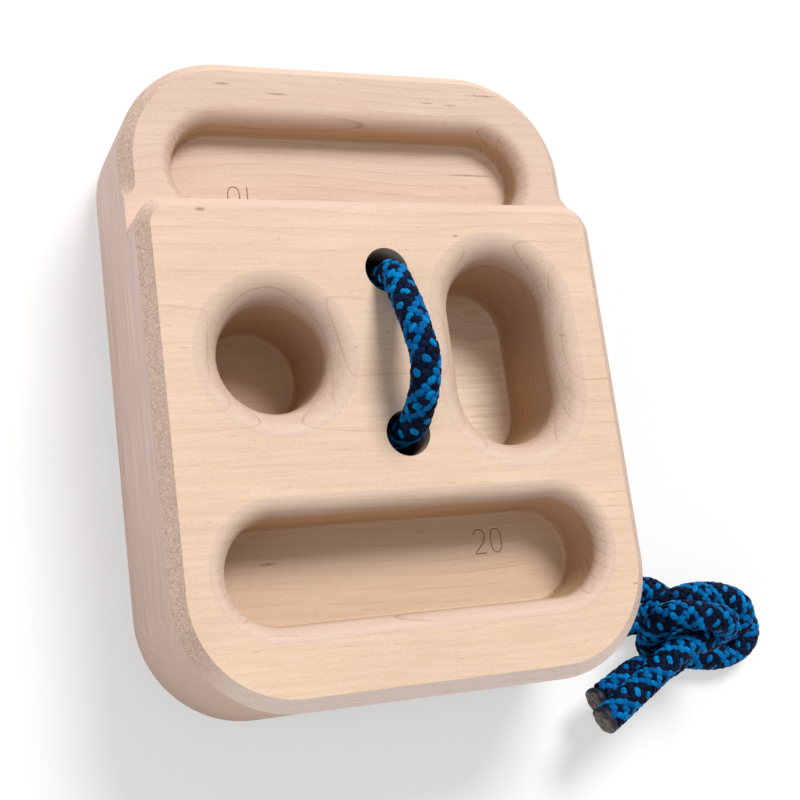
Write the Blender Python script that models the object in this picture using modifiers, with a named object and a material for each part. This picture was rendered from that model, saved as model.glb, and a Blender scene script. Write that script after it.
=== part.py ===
"""Portable hang block: a wooden grip block that a climber hangs by a knotted loop of rope.

The block lies on its back with its grips facing up. +Z points out of the grips, +Y points
to the block's top edge, and the origin lies on the table below the middle of the outline.
The rope is threaded through the two middle holes, runs under the block, which lies on it,
and ends in a two-strand knot beside the block, with two sealed ends.
"""

import math

import bmesh
import bpy
import numpy as np
from mathutils import Matrix, Vector

MM = 0.001

# The block's outline and thickness
BLOCK_WIDTH = 140 * MM
BLOCK_HEIGHT = 187.5 * MM
BLOCK_DEPTH = 50 * MM
CORNER_RADIUS = 32 * MM
LEDGE_HEIGHT = 47 * MM
STEP_DEPTH = 12.5 * MM
STEP_CORNER_RADIUS = 9 * MM

# The 45 degree edge that a router bit leaves, and the broken edge at the back
CHAMFER = 3.6 * MM
BIT_RADIUS = 6 * MM
RUN_OUT_ABOVE_STEP = 8.8 * MM
BACK_EDGE = 1 * MM

# The pockets: walls, rims, depths and places
FLOOR_RADIUS = 1.5 * MM
GRIP_WALL_RADIUS = 15.3 * MM
GRIP_RIM = 8.2 * MM
GRIP_DEPTH = 32.5 * MM
GRIP_ROW_UP = 95 * MM
GRIP_SIDE_LAND = 11.4 * MM
TALL_GRIP_SPAN = 24 * MM
EDGE_WALL_RADIUS = 14 * MM
EDGE_RIM = 5.2 * MM
EDGE_SIDE_LAND = 10 * MM
LOW_EDGE_DEPTH = 20 * MM
LOW_EDGE_LAND = 17.5 * MM
HIGH_EDGE_DEPTH = 10 * MM
HIGH_EDGE_TUCK = 0.3 * MM

# The rope and its two holes
ROPE_DIAMETER = 9 * MM
ROPE_GAP = 0.3 * MM
KNOT_GAP = 0.6 * MM
ROPE_FLAT = 0.1 * ROPE_DIAMETER
HOLE_RADIUS = 6.5 * MM
HOLE_SPACING = 47.4 * MM
HOLE_BEND_RADIUS = 8.2 * MM
SEALED_LENGTH = 1.6 * MM
SEALED_SWELL = 0.3 * MM

# Fineness of the round forms
OUTLINE_STEPS = 10
POCKET_STEPS = 12
RIM_STEPS = 5
HOLE_SIDES = 24
SPACING_IN_KNOT = 2.5 * MM
MOST_TURN = math.radians(20)
MOST_STRETCH = 16 * MM
SHARP_EDGE = math.radians(32)

# Heights and places that follow from those sizes
BACK = ROPE_DIAMETER - ROPE_FLAT + ROPE_GAP
FACE = BACK + BLOCK_DEPTH
LEDGE_FACE = FACE - STEP_DEPTH
BOTTOM_EDGE = -BLOCK_HEIGHT / 2
TOP_EDGE = BLOCK_HEIGHT / 2
STEP_EDGE = TOP_EDGE - LEDGE_HEIGHT
GRIP_ROW = BOTTOM_EDGE + GRIP_ROW_UP
ROPE_LOW = ROPE_DIAMETER / 2 - ROPE_FLAT
ROPE_CLEAR = ROPE_DIAMETER / 2 + ROPE_GAP

# The rope's route, chosen by eye. Millimetres from the origin, with each height
# measured from the rope's own lowest line. The front strand makes the ring on the table
# and the wrap over the top. The rear strand makes the ring between them.
FRONT_STRAND = [
    (60, -57, 0), (74, -64.5, 0), (104, -74, 0), (109.5, -75.5, 0), (115.5, -75.5, 0),
    (122, -75.5, 0.5), (129, -76, 0.5), (135.5, -78, 0.5), (140, -82, 0.5), (140.5, -86, 1),
    (136.5, -90, 1), (129, -92, 1), (120.5, -92, 1), (113, -90.5, 1), (106.5, -88.5, 3),
    (100, -85.5, 8), (95.5, -82.5, 13.5), (93.5, -79.5, 19), (94.5, -78, 23.5),
    (98, -78, 25.5), (102.5, -79.5, 26), (108, -82, 25), (113, -85, 22), (115, -87, 18),
    (113.5, -86, 15), (108.5, -86, 15), (102.5, -88.5, 15.5), (94.5, -92.5, 16.5),
    (81.5, -99.5, 18), (68.5, -107.5, 19),
]
REAR_STRAND = [
    (57, -67, 0), (70, -73.5, 0), (101.5, -79, 2), (101.5, -75.5, 7.5), (105, -73.5, 11),
    (111, -72.5, 12), (118, -73, 12), (126, -74.5, 11.5), (132, -78.5, 10.5),
    (133.5, -82.5, 8.5), (130.5, -85, 5.5), (124.5, -84, 3.5), (117.5, -83.5, 4.5),
    (110, -84, 7), (102.5, -86.5, 10), (96, -89.5, 11), (86.5, -95, 11), (72, -102, 10.5),
]
# From the upper hole round under the block to the rear strand, and from the lower hole
# to the front strand.
UNDER_UPPER = [
    (-17, 23.5, 0), (-31, 16, 0), (-41, 2, 0), (-42, -16, 0), (-33, -32, 0),
    (-15, -43, 0), (8, -49, 0), (33, -56, 0), (45, -61, 0),
]
UNDER_LOWER = [(17, -24.5, 0), (30, -36.5, 0), (45, -49, 0)]
# Over the front, in millimetres from the inner edge of the nearer hole's mouth: along
# the block towards that hole's middle, and up from the face.
FRONT_LOOP_UPPER = [
    (5, -3), (4.95, 0), (4.3, 2.6), (2.4, 4.6), (-1.2, 6.8), (-5, 9.1), (-9, 11.2),
    (-13.2, 13.2), (-17.2, 14.4),
]
FRONT_LOOP_LOWER = [
    (-12.7, 15.1), (-8.7, 14.7), (-4.6, 13.1), (-1.6, 10.7), (1, 7.4), (3.4, 3.8),
    (4.8, 1.2), (5, -3),
]


def make_collection(name):
    collection = bpy.data.collections.new(name)
    bpy.context.scene.collection.children.link(collection)
    return collection


def make_material(name, colour, roughness, metallic=0.0):
    material = bpy.data.materials.new(name)
    material.use_nodes = True
    shader = material.node_tree.nodes["Principled BSDF"]
    shader.inputs["Base Color"].default_value = (*colour, 1)
    shader.inputs["Roughness"].default_value = roughness
    shader.inputs["Metallic"].default_value = metallic
    material.diffuse_color = (*colour, 1)
    return material


def add_object(name, data, collection):
    obj = bpy.data.objects.new(name, data)
    collection.objects.link(obj)
    return obj


def evaluated_mesh(obj):
    """The object's mesh with its modifiers or its curve settings worked out, and its seams welded."""
    bpy.context.view_layer.update()
    mesh = bpy.data.meshes.new_from_object(obj.evaluated_get(bpy.context.evaluated_depsgraph_get()))
    bm = bmesh.new()
    bm.from_mesh(mesh)
    bmesh.ops.remove_doubles(bm, verts=bm.verts, dist=1e-6)
    bmesh.ops.recalc_face_normals(bm, faces=bm.faces)
    bm.to_mesh(mesh)
    bm.free()
    return mesh


def flat_solid(name, outline, low, high, collection):
    """A flat outline, made solid between two heights."""
    curve = bpy.data.curves.new(name, "CURVE")
    curve.dimensions = "2D"
    curve.fill_mode = "BOTH"
    curve.extrude = (high - low) / 2
    spline = curve.splines.new("POLY")
    spline.points.add(len(outline) - 1)
    for point, (x, y) in zip(spline.points, outline):
        point.co = (x, y, 0, 1)
    spline.use_cyclic_u = True
    drawn = add_object(name + "_outline", curve, collection)
    drawn.location.z = (high + low) / 2
    mesh = evaluated_mesh(drawn)
    solid = add_object(name, mesh, collection)
    solid.matrix_world = drawn.matrix_world
    bpy.data.objects.remove(drawn)
    return solid


def arc(centre, radius, start, end, steps):
    """Points on an arc, with the angles in degrees from +X."""
    angles = np.radians(np.linspace(start, end, steps + 1))
    return [(centre[0] + radius * math.cos(a), centre[1] + radius * math.sin(a)) for a in angles]


def as_cutter(cutter):
    cutter.hide_render = True
    cutter.display_type = "WIRE"
    return cutter


def cut(target, cutter):
    modifier = target.modifiers.new("cut_" + cutter.name, "BOOLEAN")
    modifier.operation = "DIFFERENCE"
    modifier.object = as_cutter(cutter)


def shade_by_angle(obj):
    """Shades a piece smooth, and crisp along the edges that turn more than SHARP_EDGE. It comes after its cuts."""
    tree = bpy.data.node_groups.new("shade_" + obj.name, "GeometryNodeTree")
    tree.interface.new_socket("Geometry", in_out="INPUT", socket_type="NodeSocketGeometry")
    tree.interface.new_socket("Geometry", in_out="OUTPUT", socket_type="NodeSocketGeometry")
    faces = tree.nodes.new("GeometryNodeSetShadeSmooth")
    edges = tree.nodes.new("GeometryNodeSetShadeSmooth")
    edges.domain = "EDGE"
    edges.inputs["Shade Smooth"].default_value = False
    compare = tree.nodes.new("FunctionNodeCompare")
    compare.operation = "GREATER_THAN"
    compare.inputs["B"].default_value = SHARP_EDGE
    angle = tree.nodes.new("GeometryNodeInputMeshEdgeAngle")
    start, end = tree.nodes.new("NodeGroupInput"), tree.nodes.new("NodeGroupOutput")
    tree.links.new(start.outputs["Geometry"], faces.inputs["Geometry"])
    tree.links.new(faces.outputs["Geometry"], edges.inputs["Geometry"])
    tree.links.new(angle.outputs["Unsigned Angle"], compare.inputs["A"])
    tree.links.new(compare.outputs["Result"], edges.inputs["Selection"])
    tree.links.new(edges.outputs["Geometry"], end.inputs["Geometry"])
    obj.modifiers.new("shade_by_angle", "NODES").node_group = tree


def block_outline():
    right = BLOCK_WIDTH / 2 - CORNER_RADIUS
    top = BLOCK_HEIGHT / 2 - CORNER_RADIUS
    corners = [(right, top, 0), (-right, top, 90), (-right, -top, 180), (right, -top, 270)]
    outline = []
    for x, y, start in corners:
        outline += arc((x, y), CORNER_RADIUS, start, start + 90, OUTLINE_STEPS)
    return outline


def step_outline():
    """Everything in front of the thin upper part, with the rounded corners of the thick part left out."""
    beyond = BLOCK_WIDTH / 2 + CORNER_RADIUS
    inner = BLOCK_WIDTH / 2 - STEP_CORNER_RADIUS
    low = STEP_EDGE - STEP_CORNER_RADIUS
    right = arc((inner, low), STEP_CORNER_RADIUS, 90, 0, OUTLINE_STEPS // 2)
    left = arc((-inner, low), STEP_CORNER_RADIUS, 180, 90, OUTLINE_STEPS // 2)
    far = [(beyond, low), (beyond, TOP_EDGE + CORNER_RADIUS), (-beyond, TOP_EDGE + CORNER_RADIUS)]
    return left + right + far + [(-beyond, low)]


def edges_round_face(bm, height, upwards):
    """The edges that bound the flat face at this height."""
    found = set()
    for face in bm.faces:
        at_height = all(abs(v.co.z - height) < 1e-6 for v in face.verts)
        if at_height and (face.normal.z > 0.9) == upwards:
            found |= {e for e in face.edges if not all(abs(f.normal.z) > 0.9 for f in e.link_faces)}
    return list(found)


def make_blank(collection, cutters):
    """The block before its pockets: outline, step, front chamfer and broken back edge."""
    blank = flat_solid("blank", block_outline(), BACK, FACE, cutters)
    step = flat_solid("step_cutter", step_outline(), LEDGE_FACE, FACE + STEP_DEPTH, cutters)
    cut(blank, step)
    bm = bmesh.new()
    bm.from_mesh(evaluated_mesh(blank))
    bmesh.ops.transform(bm, matrix=blank.matrix_world, verts=bm.verts)
    bmesh.ops.dissolve_limit(bm, angle_limit=math.radians(0.5), verts=bm.verts, edges=bm.edges)
    front = edges_round_face(bm, FACE, True)
    bmesh.ops.bevel(bm, geom=front, offset=CHAMFER, segments=1, affect="EDGES", clamp_overlap=True)
    back = edges_round_face(bm, BACK, False)
    bmesh.ops.bevel(bm, geom=back, offset=BACK_EDGE, segments=1, affect="EDGES", clamp_overlap=True)
    mesh = bpy.data.meshes.new("wood_block")
    bm.to_mesh(mesh)
    bm.free()
    for used in (blank, step):
        bpy.data.objects.remove(used)
    return add_object("wood_block", mesh, collection)


def ledge_chamfer_path():
    """The router bit's path round the upper part: its axis, and the direction out of the wood."""
    out = BIT_RADIUS - CHAMFER
    right = BLOCK_WIDTH / 2 - CORNER_RADIUS
    top = BLOCK_HEIGHT / 2 - CORNER_RADIUS
    path = [(BLOCK_WIDTH / 2 + out, STEP_EDGE + RUN_OUT_ABOVE_STEP, 0)]
    for x, start in ((right, 0), (-right, 90)):
        for k in range(OUTLINE_STEPS + 1):
            a = math.radians(start + 90 * k / OUTLINE_STEPS)
            reach = CORNER_RADIUS + out
            path.append((x + reach * math.cos(a), top + reach * math.sin(a), a))
    path.append((-BLOCK_WIDTH / 2 - out, STEP_EDGE + RUN_OUT_ABOVE_STEP, math.pi))
    return path


def ledge_chamfer_ring(radius):
    """The bit's track at one height: both sides of its path and its two round ends."""
    path = ledge_chamfer_path()
    outer = [(x + radius * math.cos(a), y + radius * math.sin(a)) for x, y, a in path]
    inner = [(x - radius * math.cos(a), y - radius * math.sin(a)) for x, y, a in path]
    left = arc(path[-1][:2], radius, 180, 360, OUTLINE_STEPS)[1:-1]
    right = arc(path[0][:2], radius, 180, 360, OUTLINE_STEPS)[1:-1]
    return outer + left + inner[::-1] + right


def lofted_solid(name, rings, collection):
    """A closed solid through rings of equal count, each a list of points, lowest ring first."""
    bm = bmesh.new()
    loops = [[bm.verts.new(point) for point in ring] for ring in rings]
    for low, high in zip(loops, loops[1:]):
        for k, corner in enumerate(low):
            after = (k + 1) % len(low)
            bm.faces.new((corner, low[after], high[after], high[k]))
    bm.faces.new(loops[0][::-1])
    bm.faces.new(loops[-1])
    bmesh.ops.recalc_face_normals(bm, faces=bm.faces)
    mesh = bpy.data.meshes.new(name)
    bm.to_mesh(mesh)
    bm.free()
    return add_object(name, mesh, collection)


def ledge_chamfer_cutter(cutters):
    below, above = 0.5 * MM, 1 * MM
    levels = [(-CHAMFER - below, BIT_RADIUS - CHAMFER - below), (above, BIT_RADIUS + above)]
    rings = []
    for height, radius in levels:
        rings.append([(x, y, LEDGE_FACE + height) for x, y in ledge_chamfer_ring(radius)])
    return lofted_solid("ledge_chamfer_cutter", rings, cutters)


def pocket_profile(wall_radius, rim, depth):
    """Radius and height of a pocket's wall from its floor to its rounded rim, height 0 at the mouth."""
    levels = []
    for k in range(3):
        a = math.radians(45 * k)
        radius = wall_radius - FLOOR_RADIUS * (1 - math.sin(a))
        levels.append((radius, -depth + FLOOR_RADIUS * (1 - math.cos(a))))
    for k in range(RIM_STEPS + 1):
        a = math.radians(90 * k / RIM_STEPS)
        levels.append((wall_radius + rim * (1 - math.cos(a)), -rim * (1 - math.sin(a))))
    levels.append((wall_radius + rim, rim))
    return levels


def pocket_cutter(name, centre, half_span, profile, mouth, cutters):
    """A pocket whose every level is a circle, or two half circles with straight sides between them.

    half_span is the vector from the middle to the far half circle's centre."""
    lean = math.degrees(math.atan2(half_span.y, half_span.x))
    rings = []
    for radius, height in profile:
        far = arc(centre + half_span, radius, lean - 90, lean + 90, POCKET_STEPS)
        near = arc(centre - half_span, radius, lean + 90, lean + 270, POCKET_STEPS)
        if half_span.length == 0:
            far, near = far[:-1], near[:-1]
        rings.append([(x, y, mouth + height) for x, y in far + near])
    return lofted_solid(name, rings, cutters)


def keep_above_step(cutter):
    """Cuts the lower side off a cutter, along the step's wall."""
    bm = bmesh.new()
    bm.from_mesh(cutter.data)
    geometry = bm.verts[:] + bm.edges[:] + bm.faces[:]
    plane = Vector((0, STEP_EDGE, 0))
    bmesh.ops.bisect_plane(bm, geom=geometry, plane_co=plane, plane_no=(0, -1, 0), clear_outer=True)
    bmesh.ops.holes_fill(bm, edges=[e for e in bm.edges if e.is_boundary])
    bmesh.ops.recalc_face_normals(bm, faces=bm.faces)
    bm.to_mesh(cutter.data)
    bm.free()
    return cutter


def hole_cutter(name, centre, cutters):
    length = 2 * BLOCK_DEPTH
    bm = bmesh.new()
    bmesh.ops.create_cone(
        bm, cap_ends=True, segments=HOLE_SIDES, radius1=HOLE_RADIUS, radius2=HOLE_RADIUS, depth=length
    )
    mesh = bpy.data.meshes.new(name)
    bm.to_mesh(mesh)
    bm.free()
    cutter = add_object(name, mesh, cutters)
    cutter.location = (centre.x, centre.y, (BACK + FACE) / 2)
    return cutter


def hole_place(side):
    """The middle of the upper (side 1) or the lower (side -1) rope hole."""
    return Vector((0, GRIP_ROW + side * HOLE_SPACING / 2))


def make_block(collection, cutters):
    block = make_blank(collection, cutters)
    block.data.materials.append(make_material("maple", (0.82, 0.62, 0.44), 0.6))
    cut(block, ledge_chamfer_cutter(cutters))

    grip = pocket_profile(GRIP_WALL_RADIUS, GRIP_RIM, GRIP_DEPTH)
    grip_out = BLOCK_WIDTH / 2 - GRIP_SIDE_LAND - GRIP_WALL_RADIUS - GRIP_RIM
    round_at = Vector((-grip_out, GRIP_ROW))
    tall_at = Vector((grip_out, GRIP_ROW))
    tall_half = Vector((0, TALL_GRIP_SPAN / 2))
    cut(block, pocket_cutter("round_pocket_cutter", round_at, Vector((0, 0)), grip, FACE, cutters))
    cut(block, pocket_cutter("tall_pocket_cutter", tall_at, tall_half, grip, FACE, cutters))

    rim_radius = EDGE_WALL_RADIUS + EDGE_RIM
    half = Vector((BLOCK_WIDTH / 2 - EDGE_SIDE_LAND - rim_radius, 0))
    low = pocket_profile(EDGE_WALL_RADIUS, EDGE_RIM, LOW_EDGE_DEPTH)
    low_at = Vector((0, BOTTOM_EDGE + LOW_EDGE_LAND + rim_radius))
    cut(block, pocket_cutter("low_edge_cutter", low_at, half, low, FACE, cutters))
    high = pocket_profile(EDGE_WALL_RADIUS, EDGE_RIM, HIGH_EDGE_DEPTH)
    high_at = Vector((0, STEP_EDGE + EDGE_WALL_RADIUS - HIGH_EDGE_TUCK))
    high_cutter = pocket_cutter("high_edge_cutter", high_at, half, high, LEDGE_FACE, cutters)
    cut(block, keep_above_step(high_cutter))

    for name, side in (("upper_hole_cutter", 1), ("lower_hole_cutter", -1)):
        cut(block, hole_cutter(name, hole_place(side), cutters))
    shade_by_angle(block)


def on_table(points):
    return [(x * MM, y * MM, z * MM + ROPE_LOW) for x, y, z in points]


def through_hole(side):
    """The rope's way from the front mouth down through a hole and out sideways under the block.

    It leans on the hole's inner wall in front, crosses to the side away from its bend at the
    back, and leaves to the left from the upper hole and to the right from the lower one."""
    play = HOLE_RADIUS - ROPE_CLEAR
    y = hole_place(side).y
    turn = HOLE_BEND_RADIUS
    points = [
        (0.2 * side * play, y - 0.9 * side * play, FACE - 0.3 * BLOCK_DEPTH),
        (0.7 * side * play, y - 0.4 * side * play, BACK + 0.4 * BLOCK_DEPTH),
    ]
    for degrees in (0, 30, 60, 90):
        a = math.radians(degrees)
        x = side * (play - turn + turn * math.cos(a))
        points.append((x, y, ROPE_LOW + turn * (1 - math.sin(a))))
    return points


def over_front(side, points):
    edge = hole_place(side).y - side * HOLE_RADIUS
    return [(0, edge + side * along * MM, FACE + up * MM) for along, up in points]


def smooth_line(points, spacing):
    """Evenly spaced points on a smooth curve through the given ones (a centripetal spline)."""
    p = np.array(points, float)
    p = np.vstack([2 * p[0] - p[1], p, 2 * p[-1] - p[-2]])
    line = []
    for a, b, c, d in zip(p, p[1:], p[2:], p[3:]):
        t1 = np.linalg.norm(b - a) ** 0.5
        t2 = t1 + np.linalg.norm(c - b) ** 0.5
        t3 = t2 + np.linalg.norm(d - c) ** 0.5
        for t in np.linspace(t1, t2, 12, endpoint=False):
            ab = ((t1 - t) * a + t * b) / t1
            bc = ((t2 - t) * b + (t - t1) * c) / (t2 - t1)
            cd = ((t3 - t) * c + (t - t2) * d) / (t3 - t2)
            abc = ((t2 - t) * ab + t * bc) / t2
            bcd = ((t3 - t) * bc + (t - t1) * cd) / (t3 - t1)
            line.append(((t2 - t) * abc + (t - t1) * bcd) / (t2 - t1))
    line = np.array(line + [p[-2]])
    along = np.r_[0, np.cumsum(np.linalg.norm(np.diff(line, axis=0), axis=1))]
    even = np.linspace(0, along[-1], max(2, round(along[-1] / spacing) + 1))
    return np.column_stack([np.interp(even, along, line[:, k]) for k in range(3)])


def apart_pairs(strands):
    """Which points of the strands are different places on the rope, more than 1.45 diameters along it."""
    strand = np.concatenate([[k] * len(s) for k, s in enumerate(strands)])
    index = np.concatenate([np.arange(len(s)) for s in strands])
    along = np.abs(index[:, None] - index[None, :]) * SPACING_IN_KNOT
    return (strand[:, None] != strand[None, :]) | (along > 1.45 * ROPE_DIAMETER)


def settle(strands, rounds=700, last_rounds=120, hold=0.04, stiffness=0.12, tension=0.03):
    """Draws a knot tight: pushes its strands apart to one diameter, while they stay smooth,
    above the table and near the places chosen for them. Each strand's first points stay put,
    and in the last rounds the strands are hardly held any more, only pushed apart."""
    apart = apart_pairs(strands)
    chosen = np.vstack(strands)
    index = np.concatenate([np.arange(len(s)) for s in strands])
    last = np.concatenate([[len(s) - 1] * len(s) for s in strands])
    inner = np.where((index > 0) & (index < last))[0]
    points = chosen.copy()
    for number in range(rounds + last_rounds):
        between = points[:, None] - points[None, :]
        distance = np.linalg.norm(between, axis=2) + 1e-9
        short = np.clip(ROPE_DIAMETER + KNOT_GAP - distance, 0, None) * apart
        push = (between / distance[..., None] * short[..., None] / 2).sum(1)
        points = points + push / np.maximum(1, (short > 0).sum(1))[:, None] ** 0.6
        bend = np.zeros_like(points)
        bend[inner] = (points[inner - 1] + points[inner + 1]) / 2 - points[inner]
        ease = np.zeros_like(points)
        ease[inner] = bend[inner] - (bend[inner - 1] + bend[inner + 1]) / 2
        if number < rounds:
            points = points + stiffness * ease + tension * bend
            points += hold * (0.3 if number > 0.7 * rounds else 1) * (chosen - points)
        else:
            points = points + 0.15 * (stiffness * ease + tension * bend)
        points[:, 2] = np.maximum(points[:, 2], ROPE_LOW)
        points[index < 3] = chosen[index < 3]
    starts = np.cumsum([len(s) for s in strands])[:-1]
    return np.split(points, starts)


def thinned(line):
    """Fewer points on a finely drawn line: one at each stretch's end or where it has turned enough."""
    kept, turned, gone = [line[0]], 0.0, 0.0
    for before, here, after in zip(line, line[1:], line[2:]):
        into, out = Vector(here - before), Vector(after - here)
        turned += into.angle(out)
        gone += into.length
        if turned > MOST_TURN or gone > MOST_STRETCH:
            kept.append(here)
            turned, gone = 0.0, 0.0
    return kept + [line[-1]]


def shortened(line, by):
    """The line with its first end drawn back."""
    line = np.array(line)
    line[0] += by * (line[1] - line[0]) / np.linalg.norm(line[1] - line[0])
    return line


def table_cutter(cutters):
    """A slab below the table, for what lies on it."""
    bm = bmesh.new()
    bmesh.ops.create_cube(bm, size=1)
    mesh = bpy.data.meshes.new("table_cutter")
    bm.to_mesh(mesh)
    bm.free()
    slab = add_object("table_cutter", mesh, cutters)
    slab.data.transform(Matrix.Diagonal((3 * BLOCK_WIDTH, 3 * BLOCK_HEIGHT, BLOCK_DEPTH, 1)))
    slab.location.z = -BLOCK_DEPTH / 2
    return as_cutter(slab)


def make_rope(name, line, table, material, collection):
    """One stretch of rope, cut flat where it lies on the table."""
    curve = bpy.data.curves.new(name + "_line", "CURVE")
    curve.dimensions = "3D"
    curve.bevel_depth = ROPE_DIAMETER / 2
    curve.bevel_resolution = 3
    curve.use_fill_caps = True
    spline = curve.splines.new("POLY")
    spline.points.add(len(line) - 1)
    for point, place in zip(spline.points, line):
        point.co = (*place, 1)
    drawn = add_object(name + "_line", curve, collection)
    mesh = evaluated_mesh(drawn)
    mesh.materials.clear()
    mesh.materials.append(material)
    rope = add_object(name, mesh, collection)
    rope.matrix_world = drawn.matrix_world
    bpy.data.objects.remove(drawn)
    cut(rope, table)
    shade_by_angle(rope)


def make_sealed_end(name, line, material, collection):
    """The melted tip of one rope end: a shallow round button, a little wider than the rope."""
    wide = ROPE_DIAMETER / 2 + SEALED_SWELL
    outline = [(0, SEALED_LENGTH), (0.7 * wide, SEALED_LENGTH), (0.93 * wide, 0.75 * SEALED_LENGTH)]
    outline += [(wide, 0.4 * SEALED_LENGTH), (0.96 * wide, 0), (0, 0)]
    mesh = bpy.data.meshes.new(name)
    edges = [(k, k + 1) for k in range(len(outline) - 1)]
    mesh.from_pydata([(x, 0, z) for x, z in outline], edges, [])
    mesh.materials.append(material)
    end = add_object(name, mesh, collection)
    screw = end.modifiers.new("turned", "SCREW")
    screw.steps = screw.render_steps = 20
    screw.use_merge_vertices = True
    screw.merge_threshold = 0.00001
    screw.use_smooth_shade = True
    along = Vector(line[-1] - line[-2]).normalized()
    end.rotation_euler = along.to_track_quat("Z", "Y").to_euler()
    end.location = Vector(line[-1]) + along * ROPE_GAP


def print_least_gap(lines):
    """The least gap of the rope to itself, measured on its centre line."""
    apart = apart_pairs(lines)
    points = np.vstack(lines)
    distance = np.linalg.norm(points[:, None] - points[None, :], axis=2)
    least = (distance[apart].min() - ROPE_DIAMETER) / MM
    length = sum(np.linalg.norm(np.diff(line, axis=0), axis=1).sum() for line in lines)
    print(f"rope: {length / MM:.0f} mm long, least gap to itself {least:.2f} mm")


def make_ropes(collection, cutters):
    material = make_material("blue_rope", (0.02, 0.17, 0.42), 0.7)
    seal_material = make_material("melted_rope", (0.07, 0.06, 0.055), 0.5)
    table = table_cutter(cutters)

    route = on_table(REAR_STRAND[:1] + UNDER_UPPER[::-1]) + through_hole(1)[::-1]
    route += over_front(1, FRONT_LOOP_UPPER) + over_front(-1, FRONT_LOOP_LOWER)
    route += through_hole(-1) + on_table(UNDER_LOWER + FRONT_STRAND[:1])
    loop = smooth_line(route, SPACING_IN_KNOT)

    front = smooth_line(on_table(FRONT_STRAND), SPACING_IN_KNOT)
    rear = smooth_line(on_table(REAR_STRAND), SPACING_IN_KNOT)
    front, rear = settle([front, rear])
    print_least_gap([front, rear, loop[4:-4]])

    make_rope("rope_loop", thinned(loop), table, material, collection)
    strands = (("front", front), ("rear", rear))
    for name, line in strands:
        make_rope(name + "_strand", shortened(thinned(line), ROPE_GAP), table, material, collection)
        make_sealed_end(name + "_sealed_end", line, seal_material, collection)


def main():
    for obj in list(bpy.data.objects):
        bpy.data.objects.remove(obj)
    parts = make_collection("portable_hang_block")
    cutters = make_collection("cutters")
    make_block(parts, cutters)
    make_ropes(parts, cutters)


main()
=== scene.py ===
import math

import bmesh
import bpy
import numpy as np
from mathutils import Matrix, Vector


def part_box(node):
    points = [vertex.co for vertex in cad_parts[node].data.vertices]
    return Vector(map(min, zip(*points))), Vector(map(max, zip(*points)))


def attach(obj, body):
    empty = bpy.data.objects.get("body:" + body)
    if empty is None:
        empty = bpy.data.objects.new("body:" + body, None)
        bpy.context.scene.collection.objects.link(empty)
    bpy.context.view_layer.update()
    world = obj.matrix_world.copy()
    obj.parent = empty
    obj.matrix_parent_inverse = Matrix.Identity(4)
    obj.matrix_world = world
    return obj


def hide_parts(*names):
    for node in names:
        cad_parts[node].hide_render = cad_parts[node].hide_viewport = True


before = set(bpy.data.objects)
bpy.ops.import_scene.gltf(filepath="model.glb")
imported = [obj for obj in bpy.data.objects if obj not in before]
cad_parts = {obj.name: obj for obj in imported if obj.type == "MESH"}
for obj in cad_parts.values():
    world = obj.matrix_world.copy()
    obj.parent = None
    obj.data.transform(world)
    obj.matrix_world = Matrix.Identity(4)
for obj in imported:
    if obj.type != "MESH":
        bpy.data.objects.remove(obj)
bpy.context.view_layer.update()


# The camera looks down on the grips from the block's lower left. Its place and lens were
# fitted to the block's outline, step, pockets and rope holes in an 800 x 800 picture.
CAMERA_PLACE = (-0.1519, -0.09375, 0.4002)
CAMERA_AHEAD = Vector((0.394, 0.211, -0.894)).normalized()
CAMERA_UPWARD = Vector((0.036, 0.969, 0.245))
camera_data = bpy.data.cameras.new("camera")
camera_data.sensor_width = 36
camera_data.lens = 62.136
camera = bpy.data.objects.new("camera", camera_data)
bpy.context.scene.collection.objects.link(camera)
camera_right = CAMERA_AHEAD.cross(CAMERA_UPWARD).normalized()
camera_up = camera_right.cross(CAMERA_AHEAD)
camera.matrix_world = Matrix.Translation(CAMERA_PLACE) @ Matrix(
    (camera_right, camera_up, -CAMERA_AHEAD)
).transposed().to_4x4()
bpy.context.scene.camera = camera


# The rope is one length of braid, 9 mm thick. It is threaded down through both middle
# holes, runs out under the block, which lies on it, and is knotted beside the block. The
# route repeats the points of the part's source and draws them tight in the same way.
MM = 0.001
ROPE_DIAMETER = 9 * MM
ROPE_LOW = 0.4 * ROPE_DIAMETER
KNOT_GAP = 0.6 * MM
ROUTE_SPACING = 2.5 * MM
HOLE_SPACING = 47.4 * MM
HOLE_RADIUS = 6.5 * MM
HOLE_BEND_RADIUS = 8.2 * MM
HOLE_PLAY = HOLE_RADIUS - ROPE_DIAMETER / 2 - 0.3 * MM
HOLES_MIDDLE = 1.25 * MM
ARCH_ASIDE = 0.8 * MM
block_low, block_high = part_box("wood_block")
BACK, FACE = block_low[2], block_high[2]

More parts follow.
